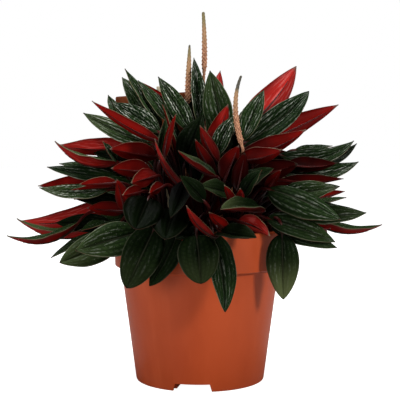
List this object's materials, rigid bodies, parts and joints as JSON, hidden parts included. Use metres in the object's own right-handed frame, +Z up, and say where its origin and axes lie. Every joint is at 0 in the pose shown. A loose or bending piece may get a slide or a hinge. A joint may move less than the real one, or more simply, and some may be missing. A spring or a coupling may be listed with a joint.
{
  "type": "potted peperomia",
  "caption": "Bushy peperomia with boat-shaped ribbed leaves, green above and crimson below, and slim flower spikes, in a terracotta-coloured nursery pot.",
  "frame": {"origin": "middle of the pot's foot ring, on the surface that the pot stands on", "axes": "+Z up along the pot's axis, -Y towards the front, where the viewer of the picture stands"},
  "size_m": [0.26, 0.203, 0.2579],
  "materials": {
    "pot_plastic": "satin terracotta-coloured polypropylene",
    "soil": "moist peat, rough",
    "leaf": "glossy ribbed leaves, dark green above and crimson below, on red stalks",
    "spike": "granular matt flower spikes",
    "card": "bare brown coated card",
    "stake_plastic": "bare cream plastic strip"
  },
  "bodies": {
    "root": {"pot": "pot_plastic", "soil": "soil", "crown_middle": "leaf", "crown_1": "leaf", "crown_2": "leaf", "crown_3": "leaf", "crown_4": "leaf", "crown_5": "leaf", "crown_6": "leaf", "crown_7": "leaf", "crown_8": "leaf", "flower_spike_tall": "spike", "flower_spike_left": "spike", "flower_spike_curved": "spike", "label_card": "card", "label_stake": "stake_plastic"}
  },
  "joints": []
}
